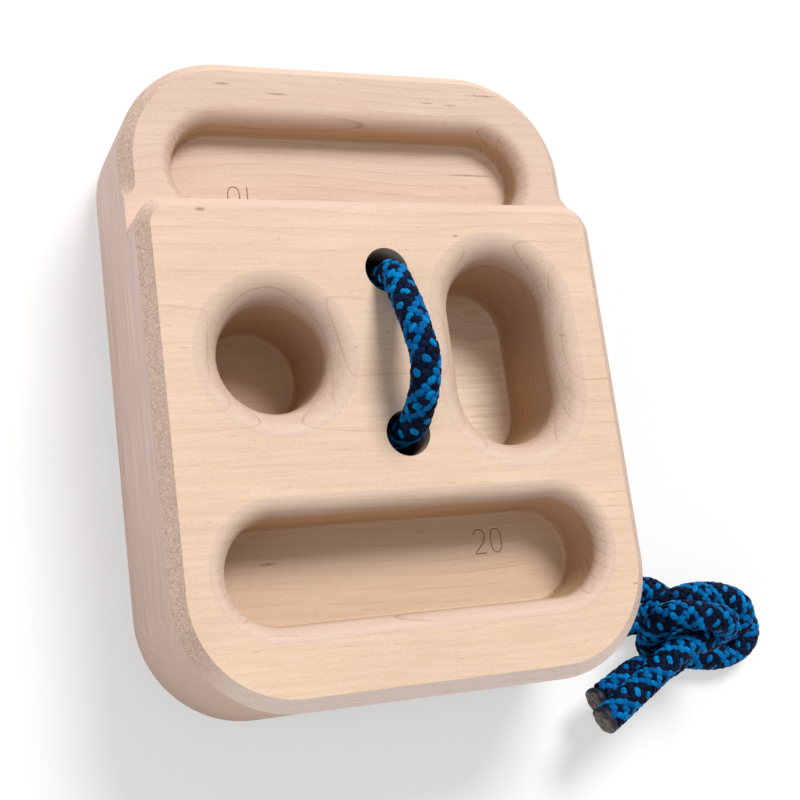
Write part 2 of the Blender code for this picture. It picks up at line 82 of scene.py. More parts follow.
FRONT_STRAND = [
    (60, -57, 0), (74, -64.5, 0), (104, -74, 0), (109.5, -75.5, 0), (115.5, -75.5, 0),
    (122, -75.5, 0.5), (129, -76, 0.5), (135.5, -78, 0.5), (140, -82, 0.5), (140.5, -86, 1),
    (136.5, -90, 1), (129, -92, 1), (120.5, -92, 1), (113, -90.5, 1), (106.5, -88.5, 3),
    (100, -85.5, 8), (95.5, -82.5, 13.5), (93.5, -79.5, 19), (94.5, -78, 23.5),
    (98, -78, 25.5), (102.5, -79.5, 26), (108, -82, 25), (113, -85, 22), (115, -87, 18),
    (113.5, -86, 15), (108.5, -86, 15), (102.5, -88.5, 15.5), (94.5, -92.5, 16.5),
    (81.5, -99.5, 18), (68.5, -107.5, 19),
]
REAR_STRAND = [
    (57, -67, 0), (70, -73.5, 0), (101.5, -79, 2), (101.5, -75.5, 7.5), (105, -73.5, 11),
    (111, -72.5, 12), (118, -73, 12), (126, -74.5, 11.5), (132, -78.5, 10.5),
    (133.5, -82.5, 8.5), (130.5, -85, 5.5), (124.5, -84, 3.5), (117.5, -83.5, 4.5),
    (110, -84, 7), (102.5, -86.5, 10), (96, -89.5, 11), (86.5, -95, 11), (72, -102, 10.5),
]
UNDER_UPPER = [
    (-17, 23.5, 0), (-31, 16, 0), (-41, 2, 0), (-42, -16, 0), (-33, -32, 0),
    (-15, -43, 0), (8, -49, 0), (33, -56, 0), (45, -61, 0),
]
UNDER_LOWER = [(17, -24.5, 0), (30, -36.5, 0), (45, -49, 0)]
FRONT_LOOP_UPPER = [
    (5, -3), (4.95, 0), (4.3, 2.6), (2.4, 4.6), (-1.2, 6.8), (-5, 9.1), (-9, 11.2),
    (-13.2, 13.2), (-17.2, 14.4),
]
FRONT_LOOP_LOWER = [
    (-12.7, 15.1), (-8.7, 14.7), (-4.6, 13.1), (-1.6, 10.7), (1, 7.4), (3.4, 3.8),
    (4.8, 1.2), (5, -3),
]


def on_table(points):
    return [(x * MM, y * MM, z * MM + ROPE_LOW) for x, y, z in points]


def hole_middle(side):
    """Where the upper (side 1) or lower (side -1) hole is along the block."""
    return HOLES_MIDDLE + side * HOLE_SPACING / 2


def through_hole(side):
    """From the front mouth down through a hole and out sideways under the block."""
    y = hole_middle(side)
    points = [
        (0.2 * side * HOLE_PLAY, y - 0.9 * side * HOLE_PLAY, FACE - 0.3 * (FACE - BACK)),
        (0.7 * side * HOLE_PLAY, y - 0.4 * side * HOLE_PLAY, BACK + 0.4 * (FACE - BACK)),
    ]
    for degrees in (0, 30, 60, 90):
        a = math.radians(degrees)
        x = side * (HOLE_PLAY - HOLE_BEND_RADIUS + HOLE_BEND_RADIUS * math.cos(a))
        points.append((x, y, ROPE_LOW + HOLE_BEND_RADIUS * (1 - math.sin(a))))
    return points


def over_front(side, points):
    """Half of the arch over the front. It lies a little aside, more so at the lower hole."""
    edge = hole_middle(side) - side * HOLE_RADIUS
    aside = ARCH_ASIDE * (1 - 0.4 * side)
    return [(aside, edge + side * along * MM, FACE + up * MM) for along, up in points]


def smooth_line(points, spacing):
    """Evenly spaced points on a smooth curve through the given ones (a centripetal spline)."""
    p = np.array(points, float)
    p = np.vstack([2 * p[0] - p[1], p, 2 * p[-1] - p[-2]])
    line = []
    for a, b, c, d in zip(p, p[1:], p[2:], p[3:]):
        t1 = np.linalg.norm(b - a) ** 0.5
        t2 = t1 + np.linalg.norm(c - b) ** 0.5
        t3 = t2 + np.linalg.norm(d - c) ** 0.5
        for t in np.linspace(t1, t2, 12, endpoint=False):
            ab = ((t1 - t) * a + t * b) / t1
            bc = ((t2 - t) * b + (t - t1) * c) / (t2 - t1)
            cd = ((t3 - t) * c + (t - t2) * d) / (t3 - t2)
            abc = ((t2 - t) * ab + t * bc) / t2
            bcd = ((t3 - t) * bc + (t - t1) * cd) / (t3 - t1)
            line.append(((t2 - t) * abc + (t - t1) * bcd) / (t2 - t1))
    line = np.array(line + [p[-2]])
    along = np.r_[0, np.cumsum(np.linalg.norm(np.diff(line, axis=0), axis=1))]
    even = np.linspace(0, along[-1], max(2, round(along[-1] / spacing) + 1))
    return np.column_stack([np.interp(even, along, line[:, k]) for k in range(3)])


def settle(strands, rounds=700, last_rounds=120, hold=0.04, stiffness=0.12, tension=0.03):
    """Draws the knot tight: pushes its strands a diameter apart while they stay smooth."""
    strand = np.concatenate([[k] * len(s) for k, s in enumerate(strands)])
    index = np.concatenate([np.arange(len(s)) for s in strands])
    last = np.concatenate([[len(s) - 1] * len(s) for s in strands])
    along = np.abs(index[:, None] - index[None, :]) * ROUTE_SPACING
    apart = (strand[:, None] != strand[None, :]) | (along > 1.45 * ROPE_DIAMETER)
    inner = np.where((index > 0) & (index < last))[0]
    chosen = np.vstack(strands)
    points = chosen.copy()
    for number in range(rounds + last_rounds):
        between = points[:, None] - points[None, :]
        distance = np.linalg.norm(between, axis=2) + 1e-9
        short = np.clip(ROPE_DIAMETER + KNOT_GAP - distance, 0, None) * apart
        push = (between / distance[..., None] * short[..., None] / 2).sum(1)
        points = points + push / np.maximum(1, (short > 0).sum(1))[:, None] ** 0.6
        bend = np.zeros_like(points)
        bend[inner] = (points[inner - 1] + points[inner + 1]) / 2 - points[inner]
        ease = np.zeros_like(points)
        ease[inner] = bend[inner] - (bend[inner - 1] + bend[inner + 1]) / 2
        if number < rounds:
            points = points + stiffness * ease + tension * bend
            points += hold * (0.3 if number > 0.7 * rounds else 1) * (chosen - points)
        else:
            points = points + 0.15 * (stiffness * ease + tension * bend)
        points[:, 2] = np.maximum(points[:, 2], ROPE_LOW)
        points[index < 3] = chosen[index < 3]
    return [points[strand == k] for k in range(len(strands))]


def line_length(line):
    return float(np.linalg.norm(np.diff(line, axis=0), axis=1).sum())


loop_route = on_table(REAR_STRAND[:1] + UNDER_UPPER[::-1]) + through_hole(1)[::-1]
loop_route += over_front(1, FRONT_LOOP_UPPER) + over_front(-1, FRONT_LOOP_LOWER)
loop_route += through_hole(-1) + on_table(UNDER_LOWER + FRONT_STRAND[:1])
loop_line = smooth_line(loop_route, ROUTE_SPACING)
front_line, rear_line = settle(
    [smooth_line(on_table(strand), ROUTE_SPACING) for strand in (FRONT_STRAND, REAR_STRAND)]
)

# The sheath is braided from sixteen yarns, eight each way, over one and under one. Where a
# yarn comes to the top it shows as a plump pad. There are sixteen rows of pads round the
# rope, and they lean one way in every second row and the other way between.
PAD_ROWS = 16
PAD_SIDES, PAD_RINGS = 10, 8
PAD_BOTTOM = -0.2
PAD_TAPER = 0.3
CORE_SIDES = 20
CORE_BELOW = 0.75
TABLE_CLEAR = 0.05 * MM
BRAID_SEED = 11


class Wiring:
    """Short ways to add and link the nodes of a tree."""

    def __init__(self, tree):
        self.nodes, self.links = tree.nodes, tree.links

    def plug(self, socket, value):
        if isinstance(value, bpy.types.NodeSocket):
            self.links.new(value, socket)
        else:
            socket.default_value = value

    def add(self, kind, settings=None, **inputs):
        """A node, its settings by name and its inputs by socket name, with _ for a space."""
        node = self.nodes.new(kind)
        for name, value in (settings or {}).items():
            setattr(node, name, value)
        for name, value in inputs.items():
            self.plug(node.inputs[name.replace("_", " ")], value)
        return node

    def worked(self, kind, operation, values):
        node = self.add(kind, {"operation": operation})
        for socket, value in zip(node.inputs, values):
            self.plug(socket, value)
        return node

    def math(self, operation, *values):
        return self.worked("ShaderNodeMath", operation, values).outputs[0]

    def vector(self, operation, *values):
        return self.worked("ShaderNodeVectorMath", operation, values).outputs["Vector"]

    def plus(self, one, other):
        return self.math("ADD", one, other)

    def minus(self, one, other):
        return self.math("SUBTRACT", one, other)

    def times(self, one, other):
        return self.math("MULTIPLY", one, other)

    def over(self, one, other):
        return self.math("DIVIDE", one, other)

    def most(self, one, other):
        return self.math("MAXIMUM", one, other)


class Braid(Wiring):
    """The geometry node tree of the braid, with its inputs and outputs."""

    def __init__(self, name, inputs):
        self.group = bpy.data.node_groups.new(name, "GeometryNodeTree")
        super().__init__(self.group)
        face = self.group.interface
        face.new_socket("Geometry", in_out="INPUT", socket_type="NodeSocketGeometry")
        for label, kind in inputs:
            face.new_socket(label, in_out="INPUT", socket_type="NodeSocket" + kind)
        face.new_socket("Geometry", in_out="OUTPUT", socket_type="NodeSocketGeometry")
        self.start = self.nodes.new("NodeGroupInput").outputs
        self.end = self.nodes.new("NodeGroupOutput").inputs

    def scaled(self, vector, factor):
        node = self.add("ShaderNodeVectorMath", {"operation": "SCALE"}, Scale=factor)
        self.plug(node.inputs[0], vector)
        return node.outputs["Vector"]

    def random(self, low, high, seed):
        node = self.add("FunctionNodeRandomValue", Min=low, Max=high)
        node.inputs["Seed"].default_value = seed
        return node.outputs["Value"]

    def stored(self, geometry, name, value, kind, domain):
        settings = {"data_type": kind, "domain": domain}
        return self.add(
            "GeometryNodeStoreNamedAttribute", settings, Geometry=geometry, Name=name, Value=value
        ).outputs[0]


def braid_tree():
    """Pads laid out round a core, along a centre line that comes in as plain edges."""
    tree = Braid("braid", [
        ("Radius", "Float"), ("Length", "Float"), ("Pitch", "Float"), ("Rows", "Int"),
        ("Pad Size", "Vector"), ("Start", "Int"), ("Material", "Material"),
    ])
    radius, rows, pitch = (tree.start[name] for name in ("Radius", "Rows", "Pitch"))
    curve = tree.add("GeometryNodeMeshToCurve", Mesh=tree.start["Geometry"]).outputs["Curve"]

    # One point for each pad, numbered along the rope and round it
    steps = tree.math("FLOOR", tree.over(tree.start["Length"], pitch))
    points = tree.add("GeometryNodePoints", Count=tree.times(steps, rows)).outputs[0]
    number = tree.add("GeometryNodeInputIndex").outputs[0]
    row = tree.math("MODULO", number, rows)
    step = tree.math("FLOOR", tree.over(number, rows))
    odd = tree.math("MODULO", row, 2.0)
    wander = tree.random(-0.05, 0.05, BRAID_SEED)
    place = tree.plus(tree.plus(step, tree.times(odd, 0.5)), 0.25)
    along = tree.times(tree.plus(place, wander), pitch)

    # Its place on the rope: out from the centre line, and leaning with its yarn
    by_length = {"mode": "LENGTH", "use_all_curves": True}
    sample = tree.add("GeometryNodeSampleCurve", by_length, Curves=curve)
    tree.plug(sample.inputs["Length"], along)
    tangent = tree.vector("NORMALIZE", sample.outputs["Tangent"])
    side = tree.vector("NORMALIZE", sample.outputs["Normal"])
    other = tree.vector("CROSS_PRODUCT", tangent, side)
    turn = tree.over(tree.times(row, 2 * math.pi), rows)
    turn = tree.plus(turn, tree.random(-0.025, 0.025, BRAID_SEED + 1))
    outward = tree.vector(
        "ADD", tree.scaled(side, tree.math("COSINE", turn)), tree.scaled(other, tree.math("SINE", turn))
    )
    around = tree.vector("CROSS_PRODUCT", tangent, outward)
    way = tree.minus(1.0, tree.times(odd, 2.0))
    row_gap = tree.over(tree.times(radius, 2 * math.pi), rows)
    lean = tree.math("ARCTAN2", row_gap, tree.times(pitch, 0.5))
    lean = tree.plus(lean, tree.random(-0.1, 0.1, BRAID_SEED + 2))
    yarn_way = tree.vector(
        "ADD",
        tree.scaled(tangent, tree.math("COSINE", lean)),
        tree.scaled(around, tree.times(tree.math("SINE", lean), way)),
    )
    pad_size = tree.start["Pad Size"]
    pad_height = tree.add("ShaderNodeSeparateXYZ", Vector=pad_size).outputs["Z"]
    sunk = tree.times(pad_height, tree.random(0.95, 1.08, BRAID_SEED + 3))
    out = tree.scaled(outward, tree.minus(radius, sunk))
    position = tree.vector("ADD", sample.outputs["Position"], out)
    placed = tree.add("GeometryNodeSetPosition", Geometry=points, Position=position).outputs[0]

    # Its colour is its yarn's. One way the yarns are azure and navy by turns, and the other
    # way three azure ones follow three navy ones
    counted = tree.plus(step, tree.start["Start"])
    pair = tree.math("FLOOR", tree.over(row, 2.0))
    by_turns = tree.minus(1.0, tree.math("FLOORED_MODULO", tree.plus(pair, counted), 2.0))
    in_sixes = tree.math("FLOORED_MODULO", tree.minus(pair, counted), 6.0)
    in_threes = tree.math("LESS_THAN", in_sixes, 3.0)
    blue = tree.plus(tree.times(in_threes, tree.minus(1.0, odd)), tree.times(by_turns, odd))

    # The pad: the upper part of a flattened ball, a little pointed at both ends
    ball = tree.add(
        "GeometryNodeMeshUVSphere", Segments=PAD_SIDES, Rings=PAD_RINGS, Radius=1.0
    ).outputs["Mesh"]
    here = tree.add("GeometryNodeInputPosition").outputs[0]
    parts = tree.add("ShaderNodeSeparateXYZ", Vector=here).outputs
    low = tree.math("LESS_THAN", parts["Z"], PAD_BOTTOM)
    pad = tree.add(
        "GeometryNodeDeleteGeometry", {"domain": "POINT"}, Geometry=ball, Selection=low
    ).outputs[0]
    taper = tree.minus(1.0, tree.times(tree.times(parts["X"], parts["X"]), PAD_TAPER))
    pointed = tree.add(
        "ShaderNodeCombineXYZ", X=parts["X"], Y=tree.times(parts["Y"], taper), Z=parts["Z"]
    ).outputs[0]
    pad = tree.add("GeometryNodeSetPosition", Geometry=pad, Position=pointed).outputs[0]
    pad = tree.stored(pad, "pad", here, "FLOAT_VECTOR", "POINT")
    turned = tree.add(
        "FunctionNodeAxesToRotation", {"primary_axis": "Z", "secondary_axis": "X"},
        Primary_Axis=outward, Secondary_Axis=yarn_way,
    ).outputs[0]
    plump = tree.scaled(pad_size, tree.random(0.94, 1.05, BRAID_SEED + 4))
    pads = tree.add(
        "GeometryNodeInstanceOnPoints", Points=placed, Instance=pad, Rotation=turned, Scale=plump
    ).outputs[0]
    pads = tree.stored(pads, "blue", blue, "FLOAT", "INSTANCE")
    pads = tree.stored(pads, "tone", tree.random(0.0, 1.0, BRAID_SEED + 5), "FLOAT", "INSTANCE")
    pads = tree.add("GeometryNodeRealizeInstances", Geometry=pads).outputs[0]

    # The core under them, which closes the gaps between the pads. It has no pad attribute, so the rope's
    # material paints it in the near-black valley shade
    core_radius = tree.minus(radius, tree.times(pad_height, CORE_BELOW))
    round_line = tree.add("GeometryNodeCurvePrimitiveCircle", {"mode": "RADIUS"}, Resolution=CORE_SIDES)
    tree.plug(round_line.inputs["Radius"], core_radius)
    core = tree.add(
        "GeometryNodeCurveToMesh", Curve=curve, Profile_Curve=round_line.outputs["Curve"], Fill_Caps=True
    ).outputs[0]
    both = tree.nodes.new("GeometryNodeJoinGeometry")
    tree.links.new(core, both.inputs[0])
    tree.links.new(pads, both.inputs[0])

    # What lies on the table is pressed flat there
    parts = tree.add("ShaderNodeSeparateXYZ", Vector=here).outputs
    height = tree.most(parts["Z"], TABLE_CLEAR)
    lifted = tree.add("ShaderNodeCombineXYZ", X=parts["X"], Y=parts["Y"], Z=height).outputs[0]
    pressed = tree.add("GeometryNodeSetPosition", Geometry=both.outputs[0], Position=lifted).outputs[0]
    smooth = tree.add("GeometryNodeSetShadeSmooth", Geometry=pressed).outputs[0]
    material = tree.start["Material"]
    done = tree.add("GeometryNodeSetMaterial", Geometry=smooth, Material=material).outputs[0]
    tree.links.new(done, tree.end["Geometry"])
    return tree.group


def plain_mesh(obj):
    """A plain mesh of the object with its modifiers or curve settings worked out."""
    bpy.context.view_layer.update()
    return bpy.data.meshes.new_from_object(obj.evaluated_get(bpy.context.evaluated_depsgraph_get()))


def baked(obj, group, values):
    """Runs a node tree on an object with these inputs, and leaves the plain mesh it makes."""
    modifier = obj.modifiers.new("made", "NODES")
    modifier.node_group = group
    for item in group.interface.items_tree:
        if item.in_out == "INPUT" and item.name in values:
            modifier[item.identifier] = values[item.name]
    mesh = plain_mesh(obj)
    mesh.name = obj.name
    obj.modifiers.remove(modifier)
    obj.data = mesh


def new_piece(name, vertices=(), edges=(), faces=()):
    mesh = bpy.data.meshes.new(name)
    mesh.from_pydata([tuple(v) for v in vertices], edges, faces)
    obj = bpy.data.objects.new(name, mesh)
    bpy.context.scene.collection.objects.link(obj)
    return obj


class Paint(Wiring):
    """A material in the making. Values that are the same all over go straight on its shader."""

    def __init__(self, name, **plain):
        self.material = bpy.data.materials.new(name)
        self.material.use_nodes = True
        super().__init__(self.material.node_tree)
        self.shader = self.nodes["Principled BSDF"]
        for socket, value in plain.items():
            self.shader.inputs[socket.replace("_", " ")].default_value = value

    def place(self, stretch=(1, 1, 1)):
        """Object coordinates, scaled by stretch."""
        where = self.nodes.new("ShaderNodeTexCoord").outputs["Object"]
        return self.add("ShaderNodeMapping", Vector=where, Scale=stretch).outputs[0]

    def noise(self, vector, scale, detail=2.0, roughness=0.5, distortion=0.0):
        return self.add(
            "ShaderNodeTexNoise", Vector=vector, Scale=scale, Detail=detail, Roughness=roughness,
            Distortion=distortion,
        ).outputs["Fac"]

    def parted(self, vector):
        return self.add("ShaderNodeSeparateXYZ", Vector=vector).outputs

    def span(self, value, low, high, to_low=0.0, to_high=1.0):
        """Where the value goes from low to high, this goes from to_low to to_high and stops."""
        node = self.nodes.new("ShaderNodeMapRange")
        sockets = ("Value", "From Min", "From Max", "To Min", "To Max")
        for name, number in zip(sockets, (value, low, high, to_low, to_high)):
            self.plug(node.inputs[name], number)
        return node.outputs[0]

    def mix(self, factor, one, other, way="MIX"):
        """One colour where the factor is 0, and the other where it is 1."""
        node = self.add("ShaderNodeMix", {"data_type": "RGBA", "blend_type": way}, Factor=factor)
        self.plug(node.inputs[6], one)
        self.plug(node.inputs[7], other)
        return node.outputs[2]

    def attribute(self, name, output="Fac"):
        return self.add("ShaderNodeAttribute", {"attribute_name": name}).outputs[output]

    def colour(self, tone):
        self.plug(self.shader.inputs["Base Color"], tone)

    def bump(self, height, strength, distance):
        node = self.add("ShaderNodeBump", Height=height, Strength=strength, Distance=distance)
        self.plug(self.shader.inputs["Normal"], node.outputs[0])


def tint(red, green, blue):
    """A colour as a picture shows it, from 0 to 255, made linear."""
    def linear(value):
        value /= 255
        return value / 12.92 if value <= 0.04045 else ((value + 0.055) / 1.055) ** 2.4
    return (linear(red), linear(green), linear(blue), 1)


# Each yarn is azure or navy, a little lighter or darker from pad to pad. Its fibres show as
# fine lines along the pad, and the valleys between the pads are painted nearly black as shade.
AZURE = tint(0, 92, 162)
AZURE_LIGHT = tint(0, 148, 226)
NAVY = tint(4, 14, 36)
NAVY_LIGHT = tint(18, 32, 62)
VALLEY_SHADE_AND_FIBRE_DARK = tint(1, 8, 22)

rope = Paint("rope_yarn", Roughness=0.55, Specular_IOR_Level=0.04)
tone = rope.attribute("tone")
azure = rope.mix(tone, AZURE, AZURE_LIGHT)
navy = rope.mix(tone, NAVY, NAVY_LIGHT)
yarn = rope.mix(rope.attribute("blue"), navy, azure)
pad_place = rope.attribute("pad", "Vector")
fibre_place = rope.add("ShaderNodeMapping", Vector=pad_place, Scale=(0.5, 3.2, 1.6)).outputs[0]
pad_shift = rope.add("ShaderNodeCombineXYZ", X=rope.times(tone, 37.0)).outputs[0]
fibres = rope.noise(rope.vector("ADD", fibre_place, pad_shift), 1.6, 3.0)
# The fibre lines darken towards the same near-black as the painted valley shade
yarn = rope.mix(rope.span(fibres, 0.42, 0.66, 0.0, 0.6), yarn, VALLEY_SHADE_AND_FIBRE_DARK)
# Painted shade: each pad darkens down its low sides towards the valleys between the pads
yarn = rope.mix(rope.span(rope.parted(pad_place)["Z"], 0.38, 0.74, 0.12, 1.0), VALLEY_SHADE_AND_FIBRE_DARK, yarn)
rope.colour(yarn)
rope.bump(fibres, 0.5, 0.25 * MM)

# The arch over the front is drawn thin, and the knot is slack and plumper. The braid runs
# on through the three stretches. Each has its radius, the step from pad to pad along it,
# its pads' length, width and height in millimetres, and where the colours start.
braid = braid_tree()
rope_stretches = (
    ("braided_loop", "rope_loop", loop_line, 4.3 * MM, 3.25 * MM, (4.0, 3.0, 1.1), 1),
    ("braided_front_strand", "front_strand", front_line, 4.6 * MM, 2.65 * MM, (4.0, 2.85, 1.1), 2),
    ("braided_rear_strand", "rear_strand", rear_line, 4.6 * MM, 2.65 * MM, (4.0, 2.85, 1.1), 4),
)
for name, node, line, radius, pitch, (long, wide, high), start in rope_stretches:
    piece = new_piece(name, line, [(k, k + 1) for k in range(len(line) - 1)])
    baked(piece, braid, {
        "Radius": radius, "Length": line_length(line), "Pitch": pitch, "Rows": PAD_ROWS,
        "Pad Size": (long / 2 * MM, wide / 2 * MM, high * MM), "Start": start,
        "Material": rope.material,
    })
    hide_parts(node)
    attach(piece, "root")


# Each end of the rope is melted so that it doesn't fray. The melt has set as a dark, uneven
# button that stands a little proud of the sheath, with the sheath's navy yarns in its rim.
# The profile is the radius and height of each ring of the button, in millimetres.
BUTTON_SIDES = 40
BUTTON_PROUD = 0.3 * MM
BUTTON_REACH = 4.6
BUTTON_RIM = 0.5
BUTTON_TOP = 1.05
BUTTON_PROFILE = [
    (0.8, 1.1), (1.6, 1.0), (2.4, 1.1), (3.1, 1.0), (3.7, 1.05), (4.05, 0.95), (4.3, 0.7),
    (4.45, 0.3), (4.5, -0.2), (4.45, -0.8), (4.3, -1.4), (3.2, -1.5),
]


def melted_end(name, line):
    """The button, in line with the rope's end. "reach" is 0 in its middle and 1 at its rim."""
    along = Vector(line[-1] - line[-2]).normalized()
    turn = along.to_track_quat("Z", "Y").to_matrix()
    middle = Vector(line[-1]) + along * BUTTON_PROUD
    vertices, reach = [], []
    for radius, height in BUTTON_PROFILE:
        for k in range(BUTTON_SIDES):
            a = 2 * math.pi * k / BUTTON_SIDES
            lump = 0.14 * math.sin(3 * a + radius) + 0.09 * math.sin(7 * a + 2.1 * radius + along.x * 9)
            out = radius * (1 + 0.02 * math.sin(5 * a + along.y * 7) + 0.02 * math.sin(2 * a + along.x * 5))
            rise = height + lump * min(1, radius / 2)
            place = Vector((out * math.cos(a), out * math.sin(a), rise)) * MM
            vertices.append(middle + turn @ place)
            reach.append(1.0 if height < BUTTON_RIM else radius / BUTTON_REACH)
    faces = []
    last = (len(BUTTON_PROFILE) - 1) * BUTTON_SIDES
    for near in range(0, last, BUTTON_SIDES):
        far = near + BUTTON_SIDES
        for k in range(BUTTON_SIDES):
            after = (k + 1) % BUTTON_SIDES
            faces.append((near + k, far + k, far + after, near + after))
    top = len(vertices)
    vertices.append(middle + turn @ Vector((0, 0, BUTTON_TOP * MM)))
    reach.append(0.0)
    faces += [(top, k, (k + 1) % BUTTON_SIDES) for k in range(BUTTON_SIDES)]
    faces.append([last + k for k in range(BUTTON_SIDES)][::-1])
    piece = new_piece(name, vertices, [], faces)
    piece.data.attributes.new("reach", "FLOAT", "POINT").data.foreach_set("value", reach)
    piece.data.shade_smooth()
    return piece


melt = Paint("melted_yarn", Roughness=0.55, Specular_IOR_Level=0.3)
lumps = melt.noise(melt.place(), 700, 2.5, 0.6)
brown_spots = melt.noise(melt.place(), 420, 2.0, 0.5)
melt_tone = melt.mix(melt.span(lumps, 0.35, 0.65), tint(40, 38, 38), tint(112, 106, 100))
melt_tone = melt.mix(melt.span(brown_spots, 0.62, 0.7, 0.0, 0.7), melt_tone, tint(122, 84, 58))
melt_tone = melt.mix(melt.span(melt.attribute("reach"), 0.86, 0.98), melt_tone, tint(12, 18, 38))
melt.colour(melt_tone)
melt.bump(lumps, 0.6, 0.3 * MM)

for node, line, exit_at in (("front", front_line, loop_line[-1]), ("rear", rear_line, loop_line[0])):
    button = melted_end(node + "_melted_end", line)
    button.data.materials.append(melt.material)
    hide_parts(node + "_sealed_end")
    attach(button, "root")


# The block is one piece of pale, fine-grained hardwood. Its outline is sawn and sanded, a
# step is milled for the thin upper part, the pockets are routed and their rims rounded over,
# the front edges are chamfered, and two holes are drilled through the middle for the rope.
BLOCK_WIDTH = block_high[0] - block_low[0]
BLOCK_HEIGHT = block_high[1] - block_low[1]
CORNER_RADIUS = 32 * MM
TOP_EDGE, BOTTOM_EDGE = BLOCK_HEIGHT / 2, -BLOCK_HEIGHT / 2
STEP_EDGE = TOP_EDGE - 47 * MM
LEDGE_FACE = FACE - 12.5 * MM
STEP_CORNER_RADIUS = 9 * MM
CHAMFER = 3.6 * MM
BIT_RADIUS = 6 * MM
RUN_OUT = 8.8 * MM
BACK_EDGE = 1 * MM
FLOOR_RADIUS = 1.5 * MM
FINGER_RADIUS = 15.3 * MM
FINGER_RIM = 8.2 * MM
FINGER_DEPTH = 32.5 * MM
FINGER_SIDE_LAND = 11.4 * MM
TALL_HALF_SPAN = 12 * MM
EDGE_RADIUS = 14 * MM
EDGE_RIM = 5.2 * MM
EDGE_SIDE_LAND = 10 * MM
LOW_EDGE_LAND = 17.5 * MM
LOW_EDGE_DEPTH = 20 * MM
HIGH_EDGE_DEPTH = 10 * MM
HIGH_EDGE_TUCK = 0.3 * MM
OUTLINE_STEPS = 40
POCKET_STEPS = 48
RIM_STEPS = 16
FLOOR_STEPS = 6
HOLE_SIDES = 72


def finished_mesh(obj):
    """The object's plain mesh, merged and facing out."""
    mesh = plain_mesh(obj)
    bm = bmesh.new()
    bm.from_mesh(mesh)
    bmesh.ops.remove_doubles(bm, verts=bm.verts, dist=1e-6)
    bmesh.ops.recalc_face_normals(bm, faces=bm.faces)
    bm.to_mesh(mesh)
    bm.free()
    return mesh


def arc(centre, radius, start, end, steps):
    angles = np.radians(np.linspace(start, end, steps + 1))
    return [(centre[0] + radius * math.cos(a), centre[1] + radius * math.sin(a)) for a in angles]


def lofted(name, rings):
    """A closed solid through rings of equal count, lowest ring first."""
    bm = bmesh.new()
    loops = [[bm.verts.new(point) for point in ring] for ring in rings]
    for low, high in zip(loops, loops[1:]):
        for k, corner in enumerate(low):
            after = (k + 1) % len(low)
            bm.faces.new((corner, low[after], high[after], high[k]))
    bm.faces.new(loops[0][::-1])
    bm.faces.new(loops[-1])
    bmesh.ops.recalc_face_normals(bm, faces=bm.faces)
    piece = new_piece(name)
    bm.to_mesh(piece.data)
    bm.free()
    return piece


def flat_solid(name, outline, low, high):
    return lofted(name, [[(x, y, z) for x, y in outline] for z in (low, high)])


def cut(target, cutter):
    modifier = target.modifiers.new("cut", "BOOLEAN")
    modifier.operation = "DIFFERENCE"
    modifier.solver = "EXACT"
    modifier.material_mode = "TRANSFER"
    modifier.object = cutter
    return modifier


def block_outline():
    right, top = BLOCK_WIDTH / 2 - CORNER_RADIUS, TOP_EDGE - CORNER_RADIUS
    outline = []
    for x, y, start in ((right, top, 0), (-right, top, 90), (-right, -top, 180), (right, -top, 270)):
        outline += arc((x, y), CORNER_RADIUS, start, start + 90, OUTLINE_STEPS)
    return outline


def step_outline():
    beyond = BLOCK_WIDTH / 2 + CORNER_RADIUS
    inner = BLOCK_WIDTH / 2 - STEP_CORNER_RADIUS
    low = STEP_EDGE - STEP_CORNER_RADIUS
    right = arc((inner, low), STEP_CORNER_RADIUS, 90, 0, OUTLINE_STEPS // 2)
    left = arc((-inner, low), STEP_CORNER_RADIUS, 180, 90, OUTLINE_STEPS // 2)
    far = [(beyond, low), (beyond, TOP_EDGE + CORNER_RADIUS), (-beyond, TOP_EDGE + CORNER_RADIUS)]
    return left + right + far + [(-beyond, low)]


def face_edges(bm, height, upwards):
    """The edges round the flat face at this height, in the mesh's own order."""
    def flat_here(face):
        at_height = all(abs(v.co.z - height) < 1e-6 for v in face.verts)
        return at_height and (face.normal.z > 0.9) == upwards

    def between_flats(edge):
        return all(abs(face.normal.z) > 0.9 for face in edge.link_faces)

    return [e for e in bm.edges if any(map(flat_here, e.link_faces)) and not between_flats(e)]


def bevelled(bm, edges, size, steps):
    bmesh.ops.bevel(bm, geom=edges, offset=size, segments=steps, affect="EDGES", clamp_overlap=True)


def ledge_chamfer_ring(radius):
    """The slanted bit's track round the upper part at one height, with its two round ends."""
    out = BIT_RADIUS - CHAMFER
    right, top = BLOCK_WIDTH / 2 - CORNER_RADIUS, TOP_EDGE - CORNER_RADIUS
    path = [(BLOCK_WIDTH / 2 + out, STEP_EDGE + RUN_OUT, 0)]
    for x, start in ((right, 0), (-right, 90)):
        for k in range(OUTLINE_STEPS + 1):
            a = math.radians(start + 90 * k / OUTLINE_STEPS)
            reach = CORNER_RADIUS + out
            path.append((x + reach * math.cos(a), top + reach * math.sin(a), a))
    path.append((-BLOCK_WIDTH / 2 - out, STEP_EDGE + RUN_OUT, math.pi))
    outer = [(x + radius * math.cos(a), y + radius * math.sin(a)) for x, y, a in path]
    inner = [(x - radius * math.cos(a), y - radius * math.sin(a)) for x, y, a in path]
    left = arc(path[-1][:2], radius, 180, 360, OUTLINE_STEPS)[1:-1]
    right_end = arc(path[0][:2], radius, 180, 360, OUTLINE_STEPS)[1:-1]
    return outer + left + inner[::-1] + right_end


